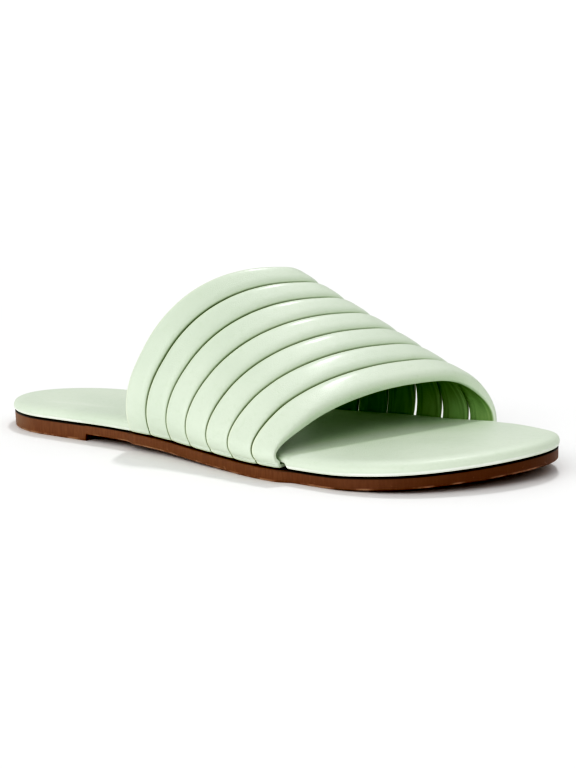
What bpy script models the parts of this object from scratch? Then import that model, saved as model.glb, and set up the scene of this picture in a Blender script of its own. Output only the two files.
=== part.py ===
"""Slide sandal for the right foot, in metres: toe toward +X, inner side toward +Y, floor at z = 0.

A thin moulded outsole with a low heel step carries a padded footbed. Seven padded straps lie side
by side over the instep. Each strap comes down outside the footbed and its flat end is lasted
inward, between footbed and outsole.
"""
import math
from functools import lru_cache

import bmesh
import bpy
import numpy as np

# Driving sizes of the sole
FOOTBED_LENGTH = 0.252
BALL_WIDTH = 0.0905
OUTSOLE_THICKNESS = 0.00425
HEEL_STEP = 0.0026
HEEL_BREAST = 0.068
BREAST_SLOPE = 0.0006
TOE_SPRING = 0.0041
OUTSOLE_EDGE_ROUND = 0.0005
OUTSOLE_TOP_ROUND = 0.0003
OUTSOLE_INSET = 0.0004
FOOTBED_THICKNESS = 0.0046

# Driving sizes of the upper
STRAP_COUNT = 7
INSTEP_HEIGHT = 0.0667
TOE_END_HEIGHT = 0.0262
RIDGE_SAG = 0.0010
STRAP_THICKNESS = 0.0054
STRAP_INNER_SHARE = 0.34
STRAP_SIDE_THICKNESS = 0.0020
TAB_THICKNESS = 0.0016
TAB_LENGTH = 0.009
SIDE_BEND_RADIUS = 0.0014
PUFF_LENGTH = 0.024
INNER_SLIT = 0.0010
SLIT_LENGTH = 0.026
OUTER_TRIM = 0.0020
INNER_TRIM = 0.0002
TRIM_LENGTH = 0.022
OUTER_SWELL = 0.0020
INNER_SWELL = 0.0031
REAR_LEAN = 0.0062
FRONT_LEAN = -0.0088
FLARE_SPREAD = -0.0030
FLARE_SLOPE = 0.008
REBATE_SPREAD = 0.0006
REBATE_SLOPE = 0.0014

# Clearance between pieces that lie on each other
FIT = 0.0003

# Each side of the upper: which way it faces, its rear and front edge as shares of the footbed's
# length, how far the front strap's end is drawn in there, how far the straps swell outward above
# the sole, and up to which share of their height
SIDES = {
    "outer": dict(sign=-1, rear=0.384, front=0.719, trim=OUTER_TRIM, swell=OUTER_SWELL, swell_top=0.55),
    "inner": dict(sign=1, rear=0.514, front=0.849, trim=INNER_TRIM, swell=INNER_SWELL, swell_top=1.0),
}

# The arch at the upper's rear and front edge: where its crest lies between outer and inner side,
# how square each flank is (2 is an ellipse), and how far forward the crest leans
ARCH = {
    "rear": dict(crest=0.755, outer=2.3, inner=3.6, lean=REAR_LEAN),
    "front": dict(crest=0.680, outer=1.8, inner=3.6, lean=FRONT_LEAN),
}

# Footbed outline: share of the length, width and sideways shift as shares of the ball width
OUTLINE_COLUMNS = ("along", "width", "shift")
OUTLINE = (
    (0.00, 0.590, 0.008),
    (0.08, 0.615, -0.004),
    (0.18, 0.628, -0.014),
    (0.30, 0.630, -0.020),
    (0.45, 0.695, -0.016),
    (0.58, 0.870, -0.002),
    (0.70, 0.990, 0.000),
    (0.79, 1.000, -0.004),
    (0.89, 0.900, 0.018),
    (0.95, 0.800, 0.045),
    (1.00, 0.740, 0.095),
)
HEEL_ROUND_LENGTH = 0.040
TOE_ROUND_LENGTH = 0.038

# Rise of the outsole sheet: share of the length, share of the heel step, share of the toe spring
SOLE_LINE_COLUMNS = ("along", "heel_step", "toe_spring")
SOLE_LINE = (
    (0.00, 1.00, 0.00),
    (0.26, 1.00, 0.00),
    (0.40, 0.82, 0.00),
    (0.54, 0.27, 0.00),
    (0.66, 0.00, 0.00),
    (0.76, 0.00, 0.00),
    (0.86, 0.00, 0.24),
    (0.93, 0.00, 0.56),
    (1.00, 0.00, 1.00),
)

# Padded edge of the footbed: inset and height as shares of its thickness, bottom to top
EDGE_COLUMNS = ("inset", "height")
FOOTBED_EDGE = (
    (0.12, 0.00),
    (0.02, 0.14),
    (0.00, 0.34),
    (0.05, 0.57),
    (0.22, 0.77),
    (0.60, 0.91),
    (1.15, 0.98),
    (1.90, 1.00),
)

# Slits between the straps on the inner side: place from the upper's rear to its front edge, width
# and length as shares of the driving sizes
SLIT_COLUMNS = ("place", "width", "length")
SLITS = (
    (0.43, 0.00, 1.00),
    (0.57, 1.00, 1.20),
    (0.71, 0.90, 0.60),
    (0.86, 0.80, 0.45),
    (1.00, 0.00, 0.45),
)

# Squareness of a strap's padded section and of its flat end, where 2 is an ellipse
SECTION_SQUARENESS = 2.9
END_SQUARENESS = 4.5

# Mesh density, and the shares over which slopes and normals are measured
SIDE_STATIONS = 34
ARCH_STATIONS = 21
ARCH_SAMPLES = 241
TAB_STATIONS = 2
BEND_STATIONS = 3
SECTION_POINTS = 12
SHARP_ANGLE = math.radians(35)
OUTLINE_EASE = 0.002
STRAP_EASE = 0.002
SHARE_DIGITS = 7


def smooth_curve(knots, values, x):
    """Read a smooth curve through the knots that never overshoots them."""
    knots = np.asarray(knots, float)
    values = np.asarray(values, float)
    step = np.diff(knots)
    slope = np.diff(values) / step
    inner = np.zeros(len(knots))
    rising = slope[:-1] * slope[1:] > 0
    weight_a = 2 * step[1:] + step[:-1]
    weight_b = step[1:] + 2 * step[:-1]
    safe_a = np.where(rising, slope[:-1], 1)
    safe_b = np.where(rising, slope[1:], 1)
    inner[1:-1] = np.where(rising, (weight_a + weight_b) / (weight_a / safe_a + weight_b / safe_b), 0)
    inner[0], inner[-1] = slope[0], slope[-1]
    x = np.clip(x, knots[0], knots[-1])
    i = np.clip(np.searchsorted(knots, x, side="right") - 1, 0, len(step) - 1)
    t = (x - knots[i]) / step[i]
    start = (1 + 2 * t) * (1 - t) ** 2 * values[i] + t * (1 - t) ** 2 * step[i] * inner[i]
    end = t * t * (3 - 2 * t) * values[i + 1] + t * t * (t - 1) * step[i] * inner[i + 1]
    return start + end


def column(table, columns, name):
    return [row[columns.index(name)] for row in table]


def smoothstep(x):
    x = np.clip(x, 0.0, 1.0)
    return x * x * (3 - 2 * x)


def swell_curve(x):
    """0 at both ends and 1 at a third of the way, with a soft return."""
    x = np.clip(x, 0.0, 1.0)
    return 27 / 4 * x * (1 - x) ** 2


def end_round(distance, reach):
    """Half an ellipse: 0 at the tip, 1 from the reach on."""
    return np.sqrt(np.clip(1 - np.clip(1 - distance / reach, 0, 1) ** 2, 0, 1))


def footbed_side(x, sign):
    """Y of the footbed's outline at x, on the side that faces sign."""
    along = np.asarray(x) / FOOTBED_LENGTH
    knots = column(OUTLINE, OUTLINE_COLUMNS, "along")
    width = smooth_curve(knots, column(OUTLINE, OUTLINE_COLUMNS, "width"), along) * BALL_WIDTH
    shift = smooth_curve(knots, column(OUTLINE, OUTLINE_COLUMNS, "shift"), along) * BALL_WIDTH
    ends = end_round(x, HEEL_ROUND_LENGTH) * end_round(FOOTBED_LENGTH - x, TOE_ROUND_LENGTH)
    return shift + sign * ends * width / 2


def sheet_bottom(x):
    """Height of the outsole sheet's underside, without the heel step below it."""
    along = np.asarray(x) / FOOTBED_LENGTH
    knots = column(SOLE_LINE, SOLE_LINE_COLUMNS, "along")
    heel = smooth_curve(knots, column(SOLE_LINE, SOLE_LINE_COLUMNS, "heel_step"), along)
    toe = smooth_curve(knots, column(SOLE_LINE, SOLE_LINE_COLUMNS, "toe_spring"), along)
    return HEEL_STEP * heel + TOE_SPRING * toe


def outsole_top(x):
    return sheet_bottom(x) + OUTSOLE_THICKNESS


def strap_window(x, sign, spread, slope):
    """1 between the outer edges of the strap ends on one side, falling to 0 past them."""
    side = next(s for s in SIDES.values() if s["sign"] == sign)
    rear = side["rear"] * FOOTBED_LENGTH - spread
    front = side["front"] * FOOTBED_LENGTH - side["trim"] + spread
    return smoothstep((x - rear) / slope + 1) * smoothstep((front - x) / slope + 1)


def both_windows(x, sign, spread, slope):
    outer = strap_window(x, SIDES["outer"]["sign"], spread, slope)
    inner = strap_window(x, SIDES["inner"]["sign"], spread, slope)
    return np.where(sign < 0, outer, inner)


def outline_ring(stations):
    """The footbed's outline as a closed ring, outer side first, with its outward normals and signs."""
    outer = np.column_stack([stations, footbed_side(stations, -1)])
    inner = np.column_stack([stations, footbed_side(stations, 1)])[-2:0:-1]
    ring = np.vstack([outer, inner])
    before, after = ring - np.roll(ring, 1, axis=0), np.roll(ring, -1, axis=0) - ring
    before_size, after_size = (np.linalg.norm(step, axis=1)[:, None] for step in (before, after))
    along = before / before_size * after_size + after / after_size * before_size
    normal = np.column_stack([along[:, 1], -along[:, 0]])
    normal /= np.linalg.norm(normal, axis=1)[:, None]
    sign = np.where(np.arange(len(ring)) < len(stations), -1, 1)
    return ring, normal, sign


def side_stations(spread, slope, extra=()):
    """Stations from heel to toe, closer together at the round ends and where the straps begin and end."""
    turn = np.linspace(0, math.pi, SIDE_STATIONS)
    stations = FOOTBED_LENGTH * (1 - np.cos(turn)) / 2
    spacing = FOOTBED_LENGTH / SIDE_STATIONS / 2
    kinks = list(extra)
    for side in SIDES.values():
        rear = side["rear"] * FOOTBED_LENGTH - spread
        front = side["front"] * FOOTBED_LENGTH - side["trim"] + spread
        kinks += [rear - slope, rear, front, front + slope]
    kept = [s for s in stations if all(abs(s - kink) > spacing for kink in kinks)]
    return np.array(sorted(kept + kinks))


def new_object(name, collection, rig, material, vertices, faces):
    mesh = bpy.data.meshes.new(name)
    mesh.from_pydata([tuple(v) for v in vertices], [], faces)
    work = bmesh.new()
    work.from_mesh(mesh)
    bmesh.ops.recalc_face_normals(work, faces=work.faces)
    work.to_mesh(mesh)
    work.free()
    mesh.shade_smooth()
    mesh.set_sharp_from_angle(angle=SHARP_ANGLE)
    mesh.materials.append(material)
    piece = bpy.data.objects.new(name, mesh)
    collection.objects.link(piece)
    piece.parent = rig
    return piece


def stack_of_rings(rings, stations):
    """Faces of a closed sole layer: bands between the rings, rungs across the first and last."""
    count = len(rings[0])
    faces = []
    for level in range(len(rings) - 1):
        low, high = level * count, (level + 1) * count
        for i in range(count):
            j = (i + 1) % count
            faces.append((low + i, low + j, high + j, high + i))
    for start in (0, (len(rings) - 1) * count):
        last = len(stations) - 1
        for i in range(last):
            rung = [start + i, start + i + 1, start + (count - i - 1) % count, start + (count - i) % count]
            faces.append(tuple(dict.fromkeys(rung)))
    return faces


def outsole(collection, rig, material):
    breast = (HEEL_BREAST, HEEL_BREAST + BREAST_SLOPE)
    stations = side_stations(FLARE_SPREAD, FLARE_SLOPE, breast)
    ring, normal, sign = outline_ring(stations)
    flare = both_windows(ring[:, 0], sign, FLARE_SPREAD, FLARE_SLOPE)
    margin = flare * (FIT + STRAP_SIDE_THICKNESS - OUTSOLE_EDGE_ROUND + OUTSOLE_INSET) - OUTSOLE_INSET
    edge = ring + normal * margin[:, None]
    bottom = np.where(ring[:, 0] < HEEL_BREAST + BREAST_SLOPE / 2, 0, sheet_bottom(ring[:, 0]))
    top = outsole_top(ring[:, 0])
    levels = (
        (OUTSOLE_EDGE_ROUND, bottom),
        (0.0, bottom + OUTSOLE_EDGE_ROUND),
        (0.0, top - OUTSOLE_TOP_ROUND),
        (OUTSOLE_TOP_ROUND, top),
    )
    rings = [np.column_stack([edge - normal * inset, height]) for inset, height in levels]
    faces = stack_of_rings(rings, stations)
    return new_object("outsole", collection, rig, material, np.vstack(rings), faces)


def footbed(collection, rig, material):
    """Padded footbed with a soft edge, and a rebate below each side for the lasted strap ends."""
    stations = side_stations(REBATE_SPREAD, REBATE_SLOPE)
    ring, normal, sign = outline_ring(stations)
    rebate = TAB_THICKNESS + FIT
    depth = rebate * both_windows(ring[:, 0], sign, REBATE_SPREAD, REBATE_SLOPE)
    seat = outsole_top(ring[:, 0]) + FIT
    rebate_reach = TAB_LENGTH + 2 * FIT
    rings = [np.column_stack([ring - normal * (rebate_reach + rebate), seat]),
             np.column_stack([ring - normal * rebate_reach, seat + depth])]
    for inset, height in FOOTBED_EDGE:
        rise = seat + depth + (FOOTBED_THICKNESS - depth) * height
        rings.append(np.column_stack([ring - normal * inset * FOOTBED_THICKNESS, rise]))
    faces = stack_of_rings(rings, stations)
    return new_object("footbed", collection, rig, material, np.vstack(rings), faces)


def side_foot(side, v):
    """Foot of a strap line on one side: its point on the footbed outline and the outward normal."""
    x = FOOTBED_LENGTH * (side["rear"] + v * (side["front"] - side["rear"]))
    ease = OUTLINE_EASE * FOOTBED_LENGTH
    rise = (footbed_side(x + ease, side["sign"]) - footbed_side(x - ease, side["sign"])) / (2 * ease)
    normal = np.array([-rise, 1.0, 0.0]) * side["sign"]
    return np.array([x, footbed_side(x, side["sign"]), 0.0]), normal / np.linalg.norm(normal)


def lasted_end(side, v):
    """Middle line of a strap's end: the flat tab below the footbed, then the bend up its side."""
    foot, normal = side_foot(side, v)
    level = outsole_top(foot[0]) + FIT + TAB_THICKNESS / 2
    shoulder = FIT + STRAP_SIDE_THICKNESS / 2
    up = np.array([0.0, 0.0, 1.0])
    tab_end = shoulder - SIDE_BEND_RADIUS
    points = []
    for reach in np.linspace(-TAB_LENGTH, tab_end, TAB_STATIONS + 1)[:-1]:
        points.append(foot + normal * reach + up * level)
    for turn in np.linspace(0, math.pi / 2, BEND_STATIONS + 1):
        reach = tab_end + SIDE_BEND_RADIUS * math.sin(turn)
        rise = SIDE_BEND_RADIUS * (1 - math.cos(turn))
        points.append(foot + normal * reach + up * (level + rise))
    return np.array(points), normal


def strap_line(v):
    """Middle line of the upper from the outer tab to the inner one, for a share v from rear to front."""
    outer, inner = SIDES["outer"], SIDES["inner"]
    rear, front = ARCH["rear"], ARCH["front"]
    form = {name: rear[name] + (front[name] - rear[name]) * v for name in rear}
    outer_end, outer_normal = lasted_end(outer, v)
    inner_end, inner_normal = lasted_end(inner, v)
    start, finish = outer_end[-1], inner_end[-1]
    turn = np.linspace(0, math.pi, ARCH_SAMPLES)
    first = np.cos(turn) > 0
    squareness = np.where(first, form["outer"], form["inner"])
    rise = np.abs(np.sin(turn)) ** (2 / squareness)
    reach = np.abs(np.cos(turn)) ** (2 / squareness)
    crest = form["crest"]
    share = np.where(first, crest * (1 - reach), crest + (1 - crest) * reach)
    ridge = INSTEP_HEIGHT + (TOE_END_HEIGHT - INSTEP_HEIGHT) * v - 4 * RIDGE_SAG * v * (1 - v)
    height = ridge - (start[2] + (finish[2] - start[2]) * crest)
    top = np.where(first, outer["swell_top"], inner["swell_top"])
    swell = np.where(first[:, None], outer["swell"] * outer_normal, inner["swell"] * inner_normal)
    arch = start + (finish - start) * share[:, None]
    arch += swell * swell_curve(rise / top)[:, None]
    arch[:, 0] += form["lean"] * rise
    arch[:, 2] += height * rise
    run = np.concatenate([[0], np.cumsum(np.linalg.norm(np.diff(arch, axis=0), axis=1))])
    stops = np.linspace(0, run[-1], ARCH_STATIONS + 2)[1:-1]
    middle = np.column_stack([np.interp(stops, run, arch[:, i]) for i in range(3)])
    return np.vstack([outer_end, middle, inner_end[::-1]])


@lru_cache(maxsize=None)
def line_and_normals(v):
    """The upper's middle line at a share v from rear to front, and its outward normals."""
    line = strap_line(v)
    along = np.gradient(line, axis=0)
    across = strap_line(v + STRAP_EASE) - strap_line(v - STRAP_EASE)
    normal = np.cross(across, along)
    return line, normal / np.linalg.norm(normal, axis=1)[:, None]


def surface_point(station, v, height):
    """Point at a height off the upper's middle surface, outward when it is above zero."""
    line, normal = line_and_normals(round(float(v), SHARE_DIGITS))
    return line[station] + normal[station] * height


def strap_profile():
    """Along one strap: padding share, thickness without padding, and distance from each end."""
    line = strap_line(0.5)
    run = np.concatenate([[0], np.cumsum(np.linalg.norm(np.diff(line, axis=0), axis=1))])
    end_length = run[TAB_STATIONS + BEND_STATIONS]
    from_outer = run - end_length
    from_inner = (run[-1] - end_length) - run
    puff = smoothstep(np.minimum(from_outer, from_inner) / PUFF_LENGTH)
    bend = SIDE_BEND_RADIUS * math.pi / 2
    fold = smoothstep(np.minimum(from_outer, from_inner) / bend + 1)
    flat = TAB_THICKNESS + (STRAP_SIDE_THICKNESS - TAB_THICKNESS) * fold
    return puff, flat, from_outer, from_inner


def slit(place, from_inner):
    """Width of the slit at one edge of a strap, station by station."""
    places = column(SLITS, SLIT_COLUMNS, "place")
    width = INNER_SLIT * smooth_curve(places, column(SLITS, SLIT_COLUMNS, "width"), place)
    length = SLIT_LENGTH * smooth_curve(places, column(SLITS, SLIT_COLUMNS, "length"), place)
    return width * smoothstep(1 - from_inner / length)


def drawn_in(from_outer, from_inner):
    """How far the front strap's front edge is drawn in, station by station."""
    outer = SIDES["outer"]["trim"] * smoothstep(1 - from_outer / TRIM_LENGTH)
    return outer + SIDES["inner"]["trim"] * smoothstep(1 - from_inner / TRIM_LENGTH)


def strap(number, collection, rig, material):
    """One padded strap: a soft section carried along the upper's middle surface."""
    puff, flat, from_outer, from_inner = strap_profile()
    middle = (number + 0.5) / STRAP_COUNT
    across = (strap_line(middle + STRAP_EASE) - strap_line(middle - STRAP_EASE)) / (2 * STRAP_EASE)
    full_width = np.linalg.norm(across, axis=1) / STRAP_COUNT
    rear_gap = FIT + slit(number / STRAP_COUNT, from_inner)
    front_gap = FIT + slit((number + 1) / STRAP_COUNT, from_inner)
    if number == STRAP_COUNT - 1:
        front_gap = front_gap + 2 * drawn_in(from_outer, from_inner)
    rear_share = (full_width - rear_gap) / full_width / STRAP_COUNT / 2
    front_share = (full_width - front_gap) / full_width / STRAP_COUNT / 2
    power = 2 / (END_SQUARENESS + (SECTION_SQUARENESS - END_SQUARENESS) * puff)
    outer_half = flat / 2 + puff * (STRAP_THICKNESS * (1 - STRAP_INNER_SHARE) - flat / 2)
    inner_half = flat / 2 + puff * (STRAP_THICKNESS * STRAP_INNER_SHARE - flat / 2)
    rows = []
    for k in range(SECTION_POINTS):
        angle = 2 * math.pi * (k + 0.5) / SECTION_POINTS
        cosine, sine = math.cos(angle), math.sin(angle)
        sideways = math.copysign(1, cosine) * abs(cosine) ** power * (front_share if cosine > 0 else rear_share)
        depth = math.copysign(1, sine) * abs(sine) ** power * (outer_half if sine > 0 else inner_half)
        rows.append([surface_point(station, middle + sideways[station], depth[station])
                     for station in range(len(power))])
    points = np.array(rows).transpose(1, 0, 2)
    stations = len(points)
    faces = []
    for s in range(stations - 1):
        for k in range(SECTION_POINTS):
            n = (k + 1) % SECTION_POINTS
            a, b = s * SECTION_POINTS, (s + 1) * SECTION_POINTS
            faces.append((a + k, a + n, b + n, b + k))
    faces.append(tuple(range(SECTION_POINTS)))
    faces.append(tuple(range((stations - 1) * SECTION_POINTS, stations * SECTION_POINTS)))
    name = "strap_%d" % (number + 1)
    return new_object(name, collection, rig, material, points.reshape(-1, 3), faces)


def material(name, colour, roughness):
    made = bpy.data.materials.new(name)
    made.use_nodes = True
    shader = made.node_tree.nodes["Principled BSDF"]
    shader.inputs["Base Color"].default_value = (*colour, 1)
    shader.inputs["Roughness"].default_value = roughness
    shader.inputs["Metallic"].default_value = 0
    return made


def centre_on_box(rig, pieces):
    """Move the rig so that the origin is the middle of the box on the floor."""
    points = np.vstack([[v.co for v in piece.data.vertices] for piece in pieces])
    low, high = points.min(axis=0), points.max(axis=0)
    rig.location = (-(low[0] + high[0]) / 2, -(low[1] + high[1]) / 2, -low[2])


def main():
    for item in list(bpy.data.objects):
        bpy.data.objects.remove(item, do_unlink=True)
    collection = bpy.data.collections.new("slide_sandal")
    bpy.context.scene.collection.children.link(collection)
    rig = bpy.data.objects.new("sandal_root", None)
    collection.objects.link(rig)
    leather = material("mint_leather", (0.61, 0.72, 0.55), 0.42)
    sole_brown = material("brown_rubber", (0.19, 0.09, 0.045), 0.5)
    pieces = [outsole(collection, rig, sole_brown), footbed(collection, rig, leather)]
    for number in range(STRAP_COUNT):
        pieces.append(strap(number, collection, rig, leather))
    centre_on_box(rig, pieces)


main()
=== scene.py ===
# %% [markdown]
# # A padded slide sandal
# A flat slide is three things cemented together: a thin moulded outsole, a padded footbed in soft
# synthetic leather, and an upper, here seven padded tubes side by side over the instep. The CAD
# model holds coarse solids of them for a physics engine. This lesson makes fine surfaces where the
# solids are, gives each its finish, and lights the sandal as for a shop's catalogue.

import math

import bmesh
import bpy
import numpy as np
from mathutils import Matrix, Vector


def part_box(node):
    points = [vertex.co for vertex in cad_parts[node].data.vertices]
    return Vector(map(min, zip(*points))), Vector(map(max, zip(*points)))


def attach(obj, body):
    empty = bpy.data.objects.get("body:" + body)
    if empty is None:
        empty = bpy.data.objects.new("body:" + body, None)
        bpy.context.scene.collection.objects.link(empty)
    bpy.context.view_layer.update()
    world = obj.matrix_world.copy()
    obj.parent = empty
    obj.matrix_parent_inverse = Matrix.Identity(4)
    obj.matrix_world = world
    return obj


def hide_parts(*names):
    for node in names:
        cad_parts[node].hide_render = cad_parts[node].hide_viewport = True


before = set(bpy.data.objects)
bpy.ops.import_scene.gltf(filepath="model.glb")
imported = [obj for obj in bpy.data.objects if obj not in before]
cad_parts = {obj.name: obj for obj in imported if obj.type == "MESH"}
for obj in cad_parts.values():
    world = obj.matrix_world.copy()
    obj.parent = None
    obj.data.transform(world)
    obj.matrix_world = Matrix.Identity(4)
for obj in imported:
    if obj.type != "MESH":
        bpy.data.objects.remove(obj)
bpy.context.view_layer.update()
print("nodes:", sorted(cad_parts))

# %% [markdown]
# ## The rule behind the shapes
# A shoemaker works from a last, and everything follows its length and its width at the ball. The
# sizes and short tables that shaped the solids stand here again, because a fine surface has to lie
# where its solid lies. The footbed's length and place are measured on the frame. All sizes are in
# metres.

# %% Sizes of the sole
footbed_low, footbed_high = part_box("footbed")
LENGTH = footbed_high.x - footbed_low.x
BALL_WIDTH = 0.0905
OUTSOLE_THICKNESS = 0.00425
HEEL_STEP = 0.0026
HEEL_BREAST = 0.068
BREAST_SLOPE = 0.0006
TOE_SPRING = 0.0041
FOOTBED_THICKNESS = 0.0046
HEEL_ROUND = 0.040
TOE_ROUND = 0.038
FIT = 0.0003

# Footbed outline: share of the length, width and sideways shift as shares of the ball width
WIDTH, SHIFT = 1, 2
OUTLINE = np.array((
    (0.00, 0.590, 0.008),
    (0.08, 0.615, -0.004),
    (0.18, 0.628, -0.014),
    (0.30, 0.630, -0.020),
    (0.45, 0.695, -0.016),
    (0.58, 0.870, -0.002),
    (0.70, 0.990, 0.000),
    (0.79, 1.000, -0.004),
    (0.89, 0.900, 0.018),
    (0.95, 0.800, 0.045),
    (1.00, 0.740, 0.095),
))

# Rise of the outsole sheet: share of the length, share of the heel step, share of the toe spring
STEP_PART, SPRING_PART = 1, 2
SOLE_LINE = np.array((
    (0.00, 1.00, 0.00),
    (0.26, 1.00, 0.00),
    (0.40, 0.82, 0.00),
    (0.54, 0.27, 0.00),
    (0.66, 0.00, 0.00),
    (0.76, 0.00, 0.00),
    (0.86, 0.00, 0.24),
    (0.93, 0.00, 0.56),
    (1.00, 0.00, 1.00),
))
print("footbed length in mm:", round(1000 * LENGTH, 2))

# %% [markdown]
# ## The upper in numbers
# The seven straps are strips of one arched surface. So the upper needs only its arch at the rear
# and the front edge, the places where each side leaves the sole, and a strap's thickness at its
# crest, its side and its tab. On the steeper inner side narrow slits open between the straps.

# %% Sizes of the upper
STRAP_COUNT = 7
INSTEP_HEIGHT = 0.0667
TOE_END_HEIGHT = 0.0262
RIDGE_SAG = 0.0010
STRAP_THICKNESS = 0.0054
INNER_SHARE = 0.34
SIDE_THICKNESS = 0.0020
TAB_THICKNESS = 0.0016
TAB_LENGTH = 0.009
SIDE_BEND_RADIUS = 0.0014
PUFF_LENGTH = 0.024
INNER_SLIT = 0.0010
SLIT_LENGTH = 0.026
TRIM_LENGTH = 0.022

# Each side: which way it faces, rear and front edge of the straps as shares of the length, how far
# the front strap's end is drawn in, and how far and high the straps swell outward
SIDES = {
    "outer": dict(sign=-1, rear=0.384, front=0.719, trim=0.0020, swell=0.0020, swell_top=0.55),
    "inner": dict(sign=1, rear=0.514, front=0.849, trim=0.0002, swell=0.0031, swell_top=1.0),
}

# The arch at the upper's rear and front edge: its crest between outer and inner side, how square
# each flank is, and how far forward the crest leans
ARCH = {
    "rear": dict(crest=0.755, outer=2.3, inner=3.6, lean=0.0062),
    "front": dict(crest=0.680, outer=1.8, inner=3.6, lean=-0.0088),
}

# Slits between the straps on the inner side: place from rear to front edge, width and length as
# shares of the sizes above
SLIT_WIDE, SLIT_LONG = 1, 2
SLITS = np.array((
    (0.43, 0.00, 1.00),
    (0.57, 1.00, 1.20),
    (0.71, 0.90, 0.60),
    (0.86, 0.80, 0.45),
    (1.00, 0.00, 0.45),
))
print("straps:", STRAP_COUNT)

# %% [markdown]
# ## Smooth curves through a few rows
# A table row is a given section. Between the rows the curve has to be smooth and
# must not overshoot, or the outline would get bumps. A monotone cubic does that: it is level at
# every local high or low, and elsewhere averages the slopes on both sides.

# %% Smooth curves


def smooth_curve(table, column, x):
    """Read a column of a table smoothly at x, a value in its first column."""
    knots, values = table[:, 0], table[:, column]
    step = np.diff(knots)
    slope = np.diff(values) / step
    inner = np.zeros(len(knots))
    rising = slope[:-1] * slope[1:] > 0
    weight_a, weight_b = 2 * step[1:] + step[:-1], step[1:] + 2 * step[:-1]
    safe_a, safe_b = np.where(rising, slope[:-1], 1), np.where(rising, slope[1:], 1)
    inner[1:-1] = np.where(rising, (weight_a + weight_b) / (weight_a / safe_a + weight_b / safe_b), 0)
    inner[0], inner[-1] = slope[0], slope[-1]
    x = np.clip(x, knots[0], knots[-1])
    i = np.clip(np.searchsorted(knots, x, side="right") - 1, 0, len(step) - 1)
    t = (x - knots[i]) / step[i]
    start = (1 + 2 * t) * (1 - t) ** 2 * values[i] + t * (1 - t) ** 2 * step[i] * inner[i]
    return start + t * t * (3 - 2 * t) * values[i + 1] + t * t * (t - 1) * step[i] * inner[i + 1]


def smoothstep(x):
    x = np.clip(x, 0.0, 1.0)
    return x * x * (3 - 2 * x)


def swell_curve(x):
    """0 at both ends and 1 at a third of the way, with a soft return."""
    x = np.clip(x, 0.0, 1.0)
    return 27 / 4 * x * (1 - x) ** 2


def end_round(distance, reach):
    """Half an ellipse: 0 at the tip, 1 from the reach on."""
    return np.sqrt(np.clip(1 - np.clip(1 - distance / reach, 0, 1) ** 2, 0, 1))


print("widest at a share of", OUTLINE[OUTLINE[:, WIDTH].argmax(), 0])

# %% [markdown]
# ## Outline and heights of the sole
# Seen from above, the footbed has one curve for each side and a round end at heel and toe. Seen
# from the side, the outsole's sheet comes down from the heel to the ball and springs up at the
# toe. A window marks where strap ends lie, because both edges change there.

# %% Outline and heights of the sole


def footbed_side(x, sign):
    """Y of the footbed's outline, measured from the last's axis, on the side that faces sign."""
    along = np.asarray(x) / LENGTH
    ends = end_round(x, HEEL_ROUND) * end_round(LENGTH - x, TOE_ROUND)
    width = smooth_curve(OUTLINE, WIDTH, along)
    return BALL_WIDTH * (smooth_curve(OUTLINE, SHIFT, along) + sign * ends * width / 2)


def sheet_bottom(x):
    """Height of the outsole sheet's underside, without the heel step."""
    along = np.asarray(x) / LENGTH
    step = HEEL_STEP * smooth_curve(SOLE_LINE, STEP_PART, along)
    return step + TOE_SPRING * smooth_curve(SOLE_LINE, SPRING_PART, along)


def outsole_top(x):
    return sheet_bottom(x) + OUTSOLE_THICKNESS


def strap_span(side, spread):
    """Where strap ends begin and stop on one side, widened by a spread."""
    return side["rear"] * LENGTH - spread, side["front"] * LENGTH - side["trim"] + spread


def side_window(x, sign, spread, slope):
    """1 where strap ends lie on the side that faces sign, falling to 0 past them."""
    found = np.zeros(len(x))
    for side in SIDES.values():
        rear, front = strap_span(side, spread)
        window = smoothstep((x - rear) / slope + 1) * smoothstep((front - x) / slope + 1)
        found = np.where(sign == side["sign"], window, found)
    return found


OUTLINE_STEPS = 2001
widest = footbed_side(np.linspace(0, LENGTH, OUTLINE_STEPS), -1).min()
PLACE = np.array([footbed_low.x, footbed_low.y - widest, 0.0])
print("place of the last's heel in mm:", np.round(1000 * PLACE, 2))

# %% [markdown]
# ## Node maths as plain expressions
# Both shaders and Geometry Nodes are trees of small operations, and a long formula wired by hand
# is hard to read. This class wraps one number socket and overloads Python's operators, so that
# `1 - mask * 0.3` adds the Math nodes by itself.

# %% A number socket that can be calculated with


def plug(tree, term, slot):
    """Link or set one input: the term is a Number, a socket or a plain value."""
    if isinstance(term, Number):
        term = term.socket
    if isinstance(term, bpy.types.NodeSocket):
        tree.links.new(term, slot)
    else:
        slot.default_value = term


def operator(operation, swapped=False):
    """A method that adds one Math node with the Number and another term."""

    def method(self, other):
        return self.math(operation, *((other, self) if swapped else (self, other)))

    return method


class Number:
    """A number socket of a node tree that takes part in expressions."""

    __add__ = __radd__ = operator("ADD")
    __mul__ = __rmul__ = operator("MULTIPLY")
    __sub__, __rsub__ = operator("SUBTRACT"), operator("SUBTRACT", swapped=True)
    __truediv__, __rtruediv__ = operator("DIVIDE"), operator("DIVIDE", swapped=True)
    __pow__ = operator("POWER")
    at_least, at_most = operator("MAXIMUM"), operator("MINIMUM")

    def __init__(self, socket):
        self.socket = socket

    def math(self, operation, *terms):
        tree = self.socket.id_data
        node = tree.nodes.new("ShaderNodeMath")
        node.operation = operation
        for term, slot in zip(terms, node.inputs):
            plug(tree, term, slot)
        return Number(node.outputs[0])

    def __abs__(self):
        return self.math("ABSOLUTE", self)

    def ramp(self, low, high):
        """0 below low, 1 above high, and a smooth rise between."""
        t = ((self - low) / (high - low)).at_least(0).at_most(1)
        return t * t * (3 - t * 2)


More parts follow.
